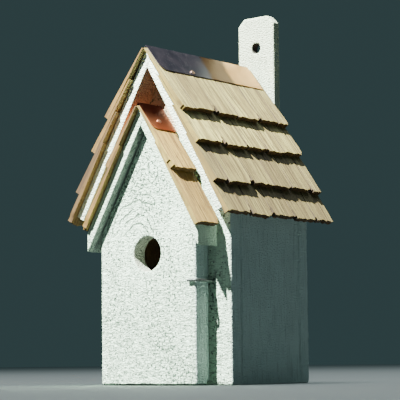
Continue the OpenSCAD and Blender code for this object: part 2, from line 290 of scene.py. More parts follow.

# %% [markdown]
# ## White paint on rough-sawn boards
# The boards went under the brush straight from the saw, so the paint shows what the saw
# left: pits where fibres tore out, level rows from the blade, strongest low down, and
# faint upright grain. Each one is a dark grey-green speck or dash that is also a hollow.
# Its dark is partly uneven paint and partly painted shade, the shade that raking light
# leaves in a hollow. Pits are kept to faces that look forward or back. High in the gable,
# close under the copper, the white turns brown: painted reflection of the copper's orange light.

# %% Paint
GLOW_FROM, GLOW_TO = 0.268, 0.292
ROWS_FADE_Z, ROWS_FULL_Z = 0.16, 0.07


def torn_pits(tree, coords, pitted):
    at = coords["Object"]
    facing = node(tree, "SeparateXYZ", {"Vector": coords["Normal"]}).outputs[1]
    broad_face = level(tree, calc(tree, "ABSOLUTE", facing), 0.55, 0.8)
    crowd = level(tree, noise(tree, at, (26, 26, 18), 2), 0.38, 0.66)
    specks = noise(tree, at, (400, 400, 360), 2, (3.1, 0.4, 7.7), 0.2)
    bar = calc(tree, "SUBTRACT", 0.80 - 0.24 * pitted, product(tree, crowd, 0.08))
    pits = level(tree, calc(tree, "SUBTRACT", specks, bar), 0, 0.035)
    return product(tree, pits, broad_face)


def painted_wood(name, colour, pitted, rows_share, grain_share, arches=False, copper_glow=None):
    finish, tree, shader = new_finish(name, 0.62)
    coords = node(tree, "TexCoord", {}).outputs
    at = coords["Object"]
    high_up = node(tree, "SeparateXYZ", {"Vector": at}).outputs[2]
    rows = noise(tree, at, (170, 170, 640), 3, (9, 2, 5), 0.6)
    low_down = level(tree, high_up, ROWS_FADE_Z, ROWS_FULL_Z, 0.35, 1.0)
    saw_rows = product(tree, level(tree, rows, 0.51, 0.64), low_down)
    cracks = level(tree, noise(tree, at, (640, 640, 38), 3, (1, 6, 3)), 0.54, 0.74)
    marks = torn_pits(tree, coords, pitted)
    marks = calc(tree, "MAXIMUM", marks, product(tree, saw_rows, rows_share))
    marks = calc(tree, "MAXIMUM", marks, product(tree, cracks, grain_share))
    if arches:
        marks = calc(tree, "MAXIMUM", marks, growth_arches(tree, at))
    cloudy = level(tree, noise(tree, at, (60, 60, 30), 4), 0.3, 0.75)
    tone = blend(tree, cloudy, colour, [c * 0.88 for c in colour])
    # Painted reflection: high up, the colour turns brown, as if orange light from the copper fell on
    # it.
    if copper_glow:
        tone = blend(tree, level(tree, high_up, GLOW_FROM, GLOW_TO, 0, 0.9), tone, copper_glow)
    # The dark marks are partly painted shade, the shade raking light leaves in each hollow.
    grey_green = (colour[0] * 0.10, colour[1] * 0.14, colour[2] * 0.12)
    tree.links.new(blend(tree, marks, tone, grey_green), shader.inputs["Base Color"])
    fuzz = product(tree, noise(tree, at, (420, 420, 560), 4), 1.4)
    height = calc(tree, "SUBTRACT", fuzz, marks)
    height = calc(tree, "ADD", height, product(tree, rows, 2 * rows_share))
    raise_surface(tree, shader, height, 0.0024)
    return finish


print("paint recipe ready; stain from z", GLOW_FROM / MM, "to", GLOW_TO / MM, "mm")

# %% [markdown]
# ## Coats of paint
# One tin of white was used all over. The door and the front keep it bright. The side
# walls and all edges, the porch boards, the undersides and the wall of the entrance are
# painted darker and greener: that is painted shade. High up, the front and the undersides
# of the long roof turn brown, as painted reflection of the copper. The three numbers after
# each colour say how pitted the board is, how much the saw's rows show, and how much the
# grain does.

# %% Mix the paints
WHITE = (0.72, 0.93, 0.76)
# Painted reflection: the orange light the copper throws onto shaded paint.
PAINTED_COPPER_GLOW = (0.62, 0.41, 0.25)
door_paint = painted_wood("painted_wood_door", WHITE, 0.76, 0.85, 0.42, arches=True)
front_paint = painted_wood("painted_wood_front", WHITE, 0.54, 0.72, 0.32, copper_glow=PAINTED_COPPER_GLOW)
# Painted shade: side walls and edges are darker and greener than the white.
side_paint_with_shade = painted_wood("painted_wood_side", (0.55, 0.70, 0.67), 0.0, 0.05, 0.32)
roof_paint = painted_wood("painted_wood_roof", (0.78, 0.90, 0.78), 0.2, 0.10, 0.15)
# Painted shade on the porch boards.
porch_paint_with_shade = painted_wood("painted_wood_porch", (0.56, 0.72, 0.58), 0.2, 0.10, 0.20)
# Painted shade on the porch boards' undersides.
shaded_underside_paint = painted_wood("painted_wood_shaded_underside", (0.28, 0.34, 0.30), 0.0, 0.10, 0.30)
# Painted shade on the long roof's undersides, turning brown high up as painted reflection of the
# copper.
soffit_paint_with_shade_and_glow = painted_wood(
    "painted_wood_soffit_shade_and_glow", (0.52, 0.58, 0.54), 0.0, 0.10, 0.30, copper_glow=PAINTED_COPPER_GLOW
)
# Painted shade on the wall of the entrance.
bore_paint_with_shade = painted_wood("painted_wood_bore", (0.42, 0.46, 0.38), 0.3, 0.10, 0.30)
board_paint = painted_wood("painted_wood_board", (0.54, 0.62, 0.48), 0.3, 0.20, 0.30)
print("paints, from thick to thin:", door_paint.name, front_paint.name, "...", shaded_underside_paint.name)

# %% [markdown]
# ## Joinery with a saw and a drill
# Each board starts as a block at its true size. Saw cuts are bisects: the plane goes
# through the mesh, the offcut is cleared and the cut face is filled. That is closer to
# the workshop than pushing corners about, and every cut is exact. A hole is a cylinder
# that a boolean takes away.

# %% Saw and drill
DRILL_L = 0.2


def take(obj):
    if bpy.context.mode != "OBJECT":
        bpy.ops.object.mode_set(mode="OBJECT")
    bpy.ops.object.select_all(action="DESELECT")
    obj.select_set(True)
    bpy.context.view_layer.objects.active = obj


def block(name, low, high):
    bpy.ops.object.select_all(action="DESELECT")
    low, high = Vector(low), Vector(high)
    bpy.ops.mesh.primitive_cube_add(size=1, location=(low + high) / 2, scale=high - low)
    obj = bpy.context.object
    obj.name = obj.data.name = name
    bpy.ops.object.transform_apply(location=True, rotation=True, scale=True)
    return obj


def saw(obj, point, outward):
    take(obj)
    bpy.ops.object.mode_set(mode="EDIT")
    bpy.ops.mesh.select_all(action="SELECT")
    bpy.ops.mesh.bisect(plane_co=point, plane_no=outward, use_fill=True, clear_outer=True)
    bpy.ops.object.mode_set(mode="OBJECT")


def uphill(side):
    return Vector((side * math.sin(PITCH), 0, math.cos(PITCH)))


def gable(obj, ridge):
    for side in (-1, 1):
        saw(obj, (0, 0, ridge), uphill(side))


def apply_modifier(obj, kind, **settings):
    take(obj)
    modifier = obj.modifiers.new(kind.lower(), kind)
    for key, value in settings.items():
        setattr(modifier, key, value)
    bpy.ops.object.modifier_apply(modifier=modifier.name)


def cut_away(obj, cutter):
    apply_modifier(obj, "BOOLEAN", object=cutter, operation="DIFFERENCE", solver="EXACT")
    bpy.data.objects.remove(cutter)


def drill(obj, x, y, z, radius, corners=64):
    bpy.ops.object.select_all(action="DESELECT")
    bpy.ops.mesh.primitive_cylinder_add(
        vertices=corners, radius=radius, depth=DRILL_L,
        location=(x, y, z), rotation=(math.pi / 2, 0, 0),
    )
    cut_away(obj, bpy.context.object)


print("saw and drill ready")

# %% [markdown]
# ## From planed to rough-sawn
# A boolean-sharp board looks like plastic. A voxel remesh lays an even skin of small
# faces over it and eases every arris, as a brushful of paint does, and a little
# smoothing takes the steps out of its sloping edges. Two displacements then push that
# skin about: a slow one for the waviness of a board cut on a band saw and a fine one
# for torn fibres. The clouds they read are fixed patterns, so every run is the same.

# %% Weather a board
def cloud_texture(name, size, depth):
    cloud = bpy.data.textures.new(name, "CLOUDS")
    cloud.noise_scale, cloud.noise_depth = size, depth
    return cloud


FINE_CLOUD = cloud_texture("torn_fibres", 0.0042, 2)
SLOW_CLOUD = cloud_texture("saw_waves", 0.035, 1)
TEAR, WAVE = 0.0006, 0.0006


def weather(obj, voxel, tear=TEAR):
    apply_modifier(obj, "REMESH", mode="VOXEL", voxel_size=voxel, use_smooth_shade=True)
    apply_modifier(obj, "SMOOTH", factor=0.5, iterations=3)
    for cloud, push in ((SLOW_CLOUD, WAVE), (FINE_CLOUD, tear)):
        apply_modifier(
            obj, "DISPLACE", texture=cloud, texture_coords="LOCAL", strength=push, mid_level=0.5
        )


print("clouds:", FINE_CLOUD.name, SLOW_CLOUD.name)

# %% [markdown]
# ## Fitting a piece
# Each finished piece is hung on the body it rides on, takes its finish if one is given,
# and hides the plain solids it stands in for. Where one board has more than one finish,
# `refinish` picks faces by their place and the way they look, and gives them another.

# %% Fit and refinish
def fit(obj, finish, body, slot, *nodes):
    if finish:
        obj.data.materials.clear()
        obj.data.materials.append(finish)
    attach(obj, body)
    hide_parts(*nodes)
    print(f"{obj.name}: {len(obj.data.polygons)} faces on {body}")


def refinish(obj, finish, test):
    obj.data.materials.append(finish)
    number = len(obj.data.materials) - 1
    changed = [face for face in obj.data.polygons if test(face.center, face.normal)]
    for face in changed:
        face.material_index = number
    print(f"{obj.name}: {len(changed)} faces in {finish.name}")


# %% [markdown]
# ## The door
# The whole front is a door, hung at the bottom. It is one gabled board with a round
# entrance. Its sawn arrises are a little ragged, which shows against the dark. Its
# edges take the side walls' darker finish and the wall of the entrance a grey one: both
# are painted shade.

# %% Make the door
ENTRANCE_Z, ENTRANCE_R = 0.143, 0.01905
EDGE_STRIP, BORE_STRIP = 0.002, 0.00145

door = block("door_board", *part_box("door_panel"))
gable(door, door_high[2])
drill(door, 0, face_y, ENTRANCE_Z, ENTRANCE_R)
weather(door, 0.0014, tear=0.0007)
fit(door, door_paint, "door", "painted_wood_front", "door_panel")
# Painted shade on the door's edges and on the wall of the entrance.
refinish(door, side_paint_with_shade, lambda c, n: abs(n.x) > 0.7 and abs(c.x) > door_high[0] - EDGE_STRIP)
refinish(
    door, bore_paint_with_shade,
    lambda c, n: math.hypot(c.x, c.z - ENTRANCE_Z) < ENTRANCE_R + BORE_STRIP and abs(n.y) < 0.6,
)

# %% [markdown]
# ## The frame behind the door
# Two posts and a pointed head stand on the wall, set in from the door's edges, so a
# dark line runs up behind the door. The opening between the posts goes on through the
# front wall, so its size is named here for both.

# %% Make the door frame
OPENING_HALF, OPENING_TOP = 0.050, 0.182
SPARE = 0.01


def cut_opening(board, low, high, bottom):
    near = (-OPENING_HALF, low[1] - SPARE, bottom)
    far = (OPENING_HALF, high[1] + SPARE, OPENING_TOP)
    cut_away(board, block("gap", near, far))


frame_low, frame_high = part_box("door_frame")
porch_ridge = frame_high[2]
jamb = block("door_jamb", frame_low, frame_high)
gable(jamb, porch_ridge)
cut_opening(jamb, frame_low, frame_high, -SPARE)
weather(jamb, 0.0022)
# The frame takes the side walls' darker finish, which is painted shade.
fit(jamb, side_paint_with_shade, "house", "painted_wood_front", "door_frame")

# %% [markdown]
# ## Bare wood
# Nobody paints the inside of a nest box. There the wood is bare, with streaks along
# the grain. The drilled hanging hole is bare wood too, painted nearly black as painted
# shade.

# %% Bare wood
def bare_wood(name, colour, dark):
    finish, tree, shader = new_finish(name, 0.8)
    at = node(tree, "TexCoord", {}).outputs["Object"]
    streaks = noise(tree, at, (30, 420, 420), 4, (2, 2, 2), 0.5)
    shade = blend(tree, level(tree, streaks, 0.35, 0.7), colour, dark)
    tree.links.new(shade, shader.inputs["Base Color"])
    raise_surface(tree, shader, streaks, 0.0004, 0.6)
    return finish


plain_pine = bare_wood("bare_pine", (0.50, 0.36, 0.20), (0.32, 0.21, 0.11))
# Painted shade: the wall of the hanging hole is nearly black.
shaded_hang_bore = bare_wood("hang_bore_painted_shade", (0.040, 0.036, 0.030), (0.015, 0.014, 0.012))
print("bare wood:", plain_pine.name, shaded_hang_bore.name)

# %% [markdown]
# ## The front and back walls
# Both are gabled boards. The front has the clean-out opening that the door covers and a
# small hole for the wire hook. Its edges take the side walls' darker finish, which is
# painted shade.

# %% Make the front and back
HOOK_Z, WIRE_R, HOOK_HOLE_R = 0.112, 0.0015, 0.0016

floor_low, floor_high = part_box("floor_panel")
front = block("front_board", wall_low, wall_high)
gable(front, ridge_z)
cut_opening(front, wall_low, wall_high, floor_high[2])
hook_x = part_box("latch_hook")[1][0] - WIRE_R
drill(front, hook_x, wall_low[1], HOOK_Z, HOOK_HOLE_R, 24)
weather(front, 0.0017)
fit(front, front_paint, "house", "painted_wood_front", "front_wall")
# Painted shade on the front's edges.
refinish(front, side_paint_with_shade, lambda c, n: abs(n.x) > 0.6 and abs(c.x) > wall_high[0] - EDGE_STRIP)

back_low, back_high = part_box("back_wall")
back = block("back_board", back_low, back_high)
gable(back, back_high[2])
weather(back, 0.0024)
# The back takes the darker, greener finish that is painted shade.
fit(back, side_paint_with_shade, "house", "painted_wood_sides", "back_wall")

# %% [markdown]
# ## The side walls, and the bare inside
# The sides stand between front and back, with their tops sawn to the roof's pitch. Once
# all four walls are up, every face that looks at the middle of the house is inside, and
# it loses its paint.

# %% Make the sides and strip the inside
WALL_T = 0.018


def side_wall(word, side):
    low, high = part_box(word + "_wall")
    wall = block(word + "_board", low, high)
    inner = low[0] if side > 0 else high[0]
    saw(wall, (inner, 0, high[2]), uphill(side))
    weather(wall, 0.0018, tear=0.0004)
    # The side walls take the darker, greener finish that is painted shade.
    fit(wall, side_paint_with_shade, "house", "painted_wood_sides", word + "_wall")
    return wall


def is_inside(c, n):
    to_middle = Vector((-c.x, (wall_low[1] + back_low[1]) / 2 - c.y, 0))
    within_x = abs(c.x) < wall_high[0] - WALL_T - MM / 2
    within_y = wall_low[1] + WALL_T < c.y < back_low[1] + MM
    return within_x and within_y and n.dot(to_middle) > 0


for wall in (front, back, side_wall("left", -1), side_wall("right", 1)):
    refinish(wall, plain_pine, is_inside)

# %% [markdown]
# ## The roof boards
# Four thin boards carry the shingles. The left one of each pair runs through to the
# ridge and the right one butts against it. The big roof's boards end square, the porch
# boards end upright. Every face is one saw cut through a line on the ridge or the eave.
# These boards are planed, so a small bevel eases their edges where the others were
# weathered. The porch boards and all the undersides take darker finishes, which are
# painted shade; under the long roof the underside also turns brown high up, painted
# reflection of the copper.

# %% Make the roof boards
BOARD_T = 0.011
RISE = BOARD_T / math.cos(PITCH)
EASED = 0.0007


def ease(obj, width):
    apply_modifier(
        obj, "BEVEL", width=width, segments=3, limit_method="ANGLE", angle_limit=math.radians(20)
    )
    take(obj)
    bpy.ops.object.shade_smooth_by_angle(angle=math.radians(30))


def roof_board(name, node_name, side, ridge, square_end):
    low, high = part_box(node_name)
    board = block(name, low, high)
    saw(board, (0, 0, ridge + RISE), uphill(side))
    saw(board, (0, 0, ridge), -uphill(side))
    if side < 0:
        saw(board, (0, 0, ridge + RISE), uphill(1))
    else:
        saw(board, (0, 0, ridge), uphill(-1))
    if square_end:
        eave_x = high[0] if side > 0 else low[0]
        eave_z = low[2] + BOARD_T * math.cos(PITCH)
        saw(board, (eave_x, 0, eave_z), (side * math.cos(PITCH), 0, -math.sin(PITCH)))
    ease(board, EASED)
    # The darker finishes here are painted shade.
    paint, underside = (roof_paint, soffit_paint_with_shade_and_glow) if square_end else (porch_paint_with_shade, shaded_underside_paint)
    fit(board, paint, "house", "painted_wood_roof", node_name)
    refinish(board, underside, lambda c, n: n.dot(uphill(side)) < -0.9)


for word, side in (("left", -1), ("right", 1)):
    roof_board("roof_board_" + word, "main_roof_board_" + word, side, ridge_z, True)
    roof_board("porch_board_" + word, "porch_roof_board_" + word, side, porch_ridge, False)

# %% [markdown]
# ## The floor of the house
# The floor is left bare, and its four corners are sawn off so that rain can drain out.

# %% Make the floor board
CORNER_CUT = 0.012

bottom = block("floor_board", floor_low, floor_high)
middle_y = (floor_low[1] + floor_high[1]) / 2
for corner_x in (floor_low[0], floor_high[0]):
    for corner_y in (floor_low[1], floor_high[1]):
        out = Vector((math.copysign(1, corner_x), math.copysign(1, corner_y - middle_y), 0))
        saw(bottom, (corner_x - out.x * CORNER_CUT, corner_y, 0), out)
weather(bottom, 0.0025, tear=0.0004)
fit(bottom, plain_pine, "house", "bare_wood", "floor_panel")

# %% [markdown]
# ## Spacer and hanging board
# Behind the house a spacer holds a tall board with clipped upper corners and one hole to
# hang it by. The hole was drilled after painting, so its wall is bare wood; it is painted
# nearly black, which is painted shade.

# %% Make the spacer and the hanging board
CLIP = 0.009
HANG_Z, HANG_R = 0.4, 0.006

spacer = block("spacer", *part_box("spacer_block"))
weather(spacer, 0.0022, tear=0.0004)
# The spacer takes the darker, greener finish that is painted shade.
fit(spacer, side_paint_with_shade, "house", "painted_wood_sides", "spacer_block")

hang_low, hang_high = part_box("hanging_board")
hanger = block("hanging_plank", hang_low, hang_high)
for side in (-1, 1):
    saw(hanger, (side * (hang_high[0] - CLIP), 0, hang_high[2]), (side, 0, 1))
drill(hanger, 0, hang_low[1], HANG_Z, HANG_R, 40)
weather(hanger, 0.0016)
fit(hanger, board_paint, "house", "painted_wood_board", "hanging_board")
# Painted shade in the hanging hole.
refinish(
    hanger, shaded_hang_bore,
    lambda c, n: math.hypot(c.x, c.z - HANG_Z) < HANG_R * 1.2
    and hang_low[1] + MM < c.y < hang_high[1] - MM,
)

# %% [markdown]
# ## Shingle wood
# Split and sawn shingles are tan on top, where sun has started to grey them, and orange
# on the fresh edges. The streaks must follow each shingle, so the finish reads two
# attributes that travel with the mesh: `grain`, a point's place on its own shingle, and
# `tint`, one number for each shingle. One recipe gives five finishes: the top, the side
# edges, a darker orange for the thick ends that is painted shade, a near-black brown for
# the joints between neighbours that is painted shade in the narrow gaps, and a warmer top
# for the porch.

# %% Shingle finishes
def shingle_finish(name, pale, dark, streak, depth):
    finish, tree, shader = new_finish(name, 0.78)
    along = node(tree, "Attribute", {}, attribute_name="grain").outputs["Vector"]
    tint = node(tree, "Attribute", {}, attribute_name="tint").outputs["Fac"]
    fine = noise(tree, along, (14, 340, 160), 4, swirl=0.4)
    broad = noise(tree, along, (9, 90, 50), 3, (5, 5, 5))
    spots = noise(tree, along, (110, 240, 200), 3, (8, 1, 2))
    base = blend(tree, level(tree, broad, 0.38, 0.62), pale, dark)
    base = blend(tree, product(tree, level(tree, fine, 0.50, 0.66), 0.85), base, streak)
    base = blend(tree, product(tree, level(tree, spots, 0.56, 0.72), 0.6), base, streak)
    base = blend(tree, level(tree, tint, 0, 1, 0.0, 0.7), base, streak)
    tree.links.new(base, shader.inputs["Base Color"])
    height = calc(tree, "SUBTRACT", product(tree, broad, 0.4), fine)
    raise_surface(tree, shader, height, depth, 0.9)
    return finish


shingle_top = shingle_finish(
    "shingle_top", (0.40, 0.34, 0.115), (0.215, 0.165, 0.055), (0.085, 0.056, 0.022), 0.0018
)
shingle_edge = shingle_finish(
    "shingle_edge", (0.32, 0.23, 0.045), (0.18, 0.13, 0.026), (0.08, 0.048, 0.012), 0.0008
)
# Painted shade for the narrow gaps between shingles.
shingle_joint_shade = shingle_finish(
    "shingle_joint_shade", (0.10, 0.065, 0.035), (0.07, 0.045, 0.025), (0.04, 0.025, 0.015), 0.0004
)
# Painted shade for the thick ends and the left slope's edges.
shingle_shade = shingle_finish(
    "shingle_shaded_edge", (0.20, 0.110, 0.022), (0.11, 0.055, 0.010), (0.04, 0.018, 0.005), 0.0008
)
shingle_warm = shingle_finish(
    "shingle_warm_top", (0.42, 0.275, 0.070), (0.25, 0.15, 0.036), (0.10, 0.054, 0.016), 0.0018
)
SHINGLE_FINISHES = (shingle_top, shingle_edge, shingle_joint_shade, shingle_shade)
TOP, EDGE, JOINT_SHADE, SHADED = range(len(SHINGLE_FINISHES))
print("shingle finishes:", [finish.name for finish in SHINGLE_FINISHES], "and", shingle_warm.name)

# %% [markdown]
# ## A wedge of cedar
# A shingle is a wedge, thick at its butt and thin at its head. Eight corners would give
# that shape, but a rough surface needs many more points to push about. So a block has
# its thin end pressed down and is then divided finely. `choose` selects points by their
# place and stays in edit mode, ready for the operator that moves them.

# %% Make a wedge
SHINGLE_L, SHINGLE_W, BUTT_T, HEAD_T = 0.100, 0.040, 0.006, 0.0012


def choose(obj, test):
    take(obj)
    bpy.ops.object.mode_set(mode="EDIT")
    bpy.ops.mesh.select_mode(type="VERT")
    bpy.ops.mesh.select_all(action="DESELECT")
    bpy.ops.object.mode_set(mode="OBJECT")
    for v in obj.data.vertices:
        v.select = test(v.co)
    bpy.ops.object.mode_set(mode="EDIT")


def wedge(name):
    obj = block(name, (0, -SHINGLE_W / 2, 0), (SHINGLE_L, SHINGLE_W / 2, BUTT_T))
    choose(obj, lambda c: c.x < MM and c.z > MM)
    bpy.ops.transform.translate(value=(0, 0, HEAD_T - BUTT_T))
    bpy.ops.mesh.select_all(action="SELECT")
    bpy.ops.mesh.subdivide(number_cuts=17)
    bpy.ops.object.mode_set(mode="OBJECT")
    return obj


print("wedge", SHINGLE_L / MM, "x", SHINGLE_W / MM, "mm, thick end", BUTT_T / MM, "mm")

# %% [markdown]
# ## Ribs, torn ends and chips
# Three displacements, each held to its own group of points, rib the top along the grain,
# tear the thick end unevenly and roughen the sides. An empty, scaled long, stretches the
# cloud pattern along the grain, which a texture alone can't do. One lower corner is
# then pushed in, as if it had chipped.

# %% Roughen and chip
CHIP_L, CHIP_W, CHIP_IN = 0.008, 0.003, 0.0012
HAIR = 1e-5
RIB_CLOUD = cloud_texture("ribs", 0.0032, 2)
TORN_CLOUD = cloud_texture("torn_end", 0.006, 1)


def stretched(place, scale):
    empty = bpy.data.objects.new("stretch", None)
    bpy.context.scene.collection.objects.link(empty)
    empty.location, empty.scale = place, scale
    bpy.context.view_layer.update()
    return empty


def group_where(obj, name, test):
    group = obj.vertex_groups.new(name=name)
    group.add([v.index for v in obj.data.vertices if test(v.co)], 1.0, "REPLACE")
    return name


def top_z(x):
    return HEAD_T + (BUTT_T - HEAD_T) * x / SHINGLE_L


def roughen(obj, start):
    top = group_where(obj, "top", lambda c: c.z > top_z(c.x) - HAIR)
    end = group_where(obj, "end", lambda c: c.x > SHINGLE_L - HAIR)
    rim = group_where(obj, "rim", lambda c: abs(c.y) > SHINGLE_W / 2 - HAIR)
    for axis, group, scale, cloud, push in (
        ("Z", top, (14, 1, 1), RIB_CLOUD, 0.0010),
        ("X", end, (30, 1, 6), TORN_CLOUD, 0.0042),
        ("Y", rim, (4, 30, 3), TORN_CLOUD, 0.0010),
    ):
        guide = stretched((start, start * 2, start * 3), scale)
        apply_modifier(
            obj, "DISPLACE", texture=cloud, texture_coords="OBJECT", texture_coords_object=guide,
            direction=axis, vertex_group=group, strength=push, mid_level=0.5,
        )
        bpy.data.objects.remove(guide)


def chip(obj, side, depth):
    choose(obj, lambda c: c.x > SHINGLE_L - CHIP_L and c.y * side > SHINGLE_W / 2 - CHIP_W)
    bpy.ops.transform.translate(value=(-depth, -side * CHIP_IN, 0))
    bpy.ops.object.mode_set(mode="OBJECT")


print("clouds:", RIB_CLOUD.name, TORN_CLOUD.name)

# %% [markdown]
# ## Six shingles to copy from
# Six patterns are enough, because every copy is cut to another length and width. Each
# starts its clouds at another place, is chipped on the other side from the one before
# it, and loses a little more of its corner. The finish of a face follows from the way
# it looks: up, down the slope, or sideways.

# %% Make the shingle patterns
def shingle_pattern(number):
    obj = wedge(f"pattern_{number}")
    roughen(obj, number * 0.31)
    chip(obj, 1 if number % 2 else -1, 0.0022 + 0.0004 * number)
    for finish in SHINGLE_FINISHES:
        obj.data.materials.append(finish)
    for face in obj.data.polygons:
        if abs(face.normal.z) > 0.75:
            face.material_index = TOP
        else:
            # Faces that look down the slope, the thick ends, take the painted-shade finish.
            face.material_index = SHADED if abs(face.normal.x) > 0.6 else EDGE
    return obj


patterns = [shingle_pattern(n) for n in range(6)]
print("patterns:", len(patterns), "of", len(patterns[0].data.polygons), "faces")

# %% [markdown]
# ## How the courses lie
# Shingles go on from the eave up, each course resting on the one below, so each course
# lies at its own small angle. All that counts is how far down the slope a course's upper
# end, its head, and its lower end, its butt, are. From those, `lift` gives how high a
# butt is raised off the board, and `upper_face` how high the top of a course is at any
# distance down the slope, exactly as in the carpentry. `FIT` is the hair of air between
# two courses. Distances down and off the slope are in mm, as on a carpenter's rod.

# %% Measure the courses
FIT = 0.00015
MAIN_HEADS, MAIN_BUTTS = [2, 40, 80, 118], [91, 134, 183.5, 221]
PORCH_HEADS, PORCH_BUTTS = [2, 50], {1: [88.5, 157], -1: [78, 155]}


def lift(heads, butts, i):
    if i == len(butts) - 1:
        return 0
    return upper_face(heads, butts, i + 1, butts[i]) + FIT / MM


def upper_face(heads, butts, i, s):
    rise = lift(heads, butts, i) + (BUTT_T - HEAD_T) / MM
    return HEAD_T / MM + rise * (s - heads[i]) / (butts[i] - heads[i])


def on_slope(side, s, out, top):
    x = s * math.cos(PITCH) + out * math.sin(PITCH)
    return Vector((side * x * MM, 0, top + (out * math.cos(PITCH) - s * math.sin(PITCH)) * MM))


print("butts raised by", [round(lift(MAIN_HEADS, MAIN_BUTTS, i), 2) for i in range(4)], "mm")

# %% [markdown]
# ## Placing one shingle
# A copy of a pattern, drawn by a seeded die so that every run lays the same roof, is cut
# to length and width, tipped to its course's angle and carried to its place. Before it
# moves, each point's place is written into `grain`, shifted at random so that no two
# shingles share streaks, and `tint` is its course's age and a random bit more: the lower
# courses have weathered longer and are darker. Edges inside a joint take the dark joint
# finish and the outer edges on the left slope the darker orange one; both are painted
# shade.

# %% Lay one shingle
AGE = [0.1, 0.0, 0.7, 0.8]
dice = random.Random(60)


def write_grain(mesh, age):
    points = [v.co.copy() for v in mesh.vertices]
    shift = Vector((dice.random() * 3, dice.random() * 3, dice.random() * 3))
    grain = mesh.attributes.new("grain", "FLOAT_VECTOR", "POINT")
    grain.data.foreach_set("vector", [c for p in points for c in p + shift])
    tint = mesh.attributes.new("tint", "FLOAT", "POINT")
    tint.data.foreach_set("value", [age + 0.5 * dice.random() ** 1.2] * len(points))


# Painted shade: joint faces and the left slope's edges get the darker finishes.
def paint_edge_shade(mesh, side, joints):
    for face in mesh.polygons:
        in_joint = joints[0 if face.normal.y * side < 0 else 1]
        if in_joint and abs(face.normal.y) > 0.6:
            face.material_index = JOINT_SHADE
        elif side < 0 and face.material_index == EDGE:
            face.material_index = SHADED


def lay_shingle(side, top, heads, butts, i, y0, y1, step=0, joints=(False, False)):
    pattern = dice.choice(patterns)
    copy = bpy.data.objects.new("shingle", pattern.data.copy())
    bpy.context.scene.collection.objects.link(copy)
    write_grain(copy.data, AGE[i])
    paint_edge_shade(copy.data, side, joints)
    tilt = math.atan(lift(heads, butts, i) / (butts[i] - heads[i]))
    down = Vector((side * math.cos(PITCH), 0, -math.sin(PITCH)))
    along = down * math.cos(tilt) + uphill(side) * math.sin(tilt)
    out = uphill(side) * math.cos(tilt) - down * math.sin(tilt)
    across = out.cross(along)
    turn = Matrix((along, across, out)).transposed().to_4x4()
    place = on_slope(side, heads[i], 0, top) + Vector((0, (y0 + y1) / 2, 0))
    length = (butts[i] + step - heads[i]) * MM
    size = Matrix.Diagonal((length / SHINGLE_L, (y1 - y0) / SHINGLE_W, 1, 1))
    copy.data.transform(Matrix.Translation(place) @ turn @ size)
    return copy


def join(pieces, name):
    take(pieces[0])
    for piece in pieces:
        piece.select_set(True)
    if len(pieces) > 1:
        bpy.ops.object.join()
    joined = bpy.context.object
    joined.name = joined.data.name = name
    take(joined)
    bpy.ops.object.shade_smooth_by_angle(angle=math.radians(38))
    return joined


print("ages by course, from the ridge down:", AGE)

# %% [markdown]
# ## Laying the roof
# The long roof has four courses a side, of five or six shingles with uneven widths and
# unevenly cut ends, and a narrow gap after each. Both slopes use the same four rows, but
# the left one starts two rows on, so that they don't look alike. The porch has two
# courses a side, of one shingle each. The blue panel overhead is then told to light the
# shingles alone, which makes their shadows cool and not black.

# %% Lay the shingles
WIDTHS = [
    [23.2, 37.6, 38.7, 42, 35.5], [47.6, 40.3, 37.9, 33.1],
    [22.3, 43.6, 40.5, 35.9, 37.8], [44.6, 38.2, 40.5, 40.1],
]
STEPS = [
    [0.6, -0.8, 0.3, 1.2, -0.5, 0.4], [-0.6, 0.9, -0.2, 1.0, -0.9],
    [0.5, 1.3, -1.0, 0.2, -0.4, 0.8], [-0.5, 1.5, -0.8, 0.7, 0.2],
]
GAP = 1.4
main_low, main_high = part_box("main_shingles_right_1")
laid_courses = []


def main_course(word, side, i):
    row = i if side > 0 else (i + 2) % 4
    starts = [main_low[1] + sum(WIDTHS[row][:j]) * MM for j in range(len(WIDTHS[row]) + 1)]
    ends = [y - GAP * MM for y in starts[1:]] + [main_high[1]]
    laid = []
    for j, (y0, y1) in enumerate(zip(starts, ends)):
        joints = (j > 0, j < len(ends) - 1)
        laid.append(lay_shingle(
            side, ridge_z + RISE, MAIN_HEADS, MAIN_BUTTS, i, y0, y1, STEPS[row][j], joints
        ))
    course = join(laid, f"shingles_{word}_{i + 1}")
    fit(course, None, "house", "shingle_wood", f"main_shingles_{word}_{i + 1}")
    return course


def porch_course(word, side, i):
    node_name = f"porch_shingles_{word}_{i + 1}"
    low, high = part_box(node_name)
    laid = lay_shingle(
        side, porch_ridge + RISE, PORCH_HEADS, PORCH_BUTTS[side], i, low[1], high[1]
    )
    laid.data.materials[TOP] = shingle_warm
    course = join([laid], f"porch_shingle_{word}_{i + 1}")
    fit(course, None, "house", "shingle_wood", node_name)
    return course


for word, side in (("left", -1), ("right", 1)):
    laid_courses += [main_course(word, side, i) for i in range(4)]
    laid_courses += [porch_course(word, side, i) for i in range(2)]
for pattern in patterns:
    bpy.data.objects.remove(pattern)

light_only(sky, laid_courses, "INCLUDE")
print("courses laid:", len(laid_courses))

# %% [markdown]
# ## The copper caps
# The long cap's colours are painted reflection: deep blue-violet at the front, brown in
# the middle and salmon pink at the back and low down, with borders that wander, as if
# the copper mirrored dark trees in front and a bright sky behind. The porch cap is a
# deep red-brown that brightens to orange towards its lower edges.

# %% Copper finishes
def share_of(tree, value, first, last):
    return calc(tree, "DIVIDE", calc(tree, "SUBTRACT", value, first), last - first)


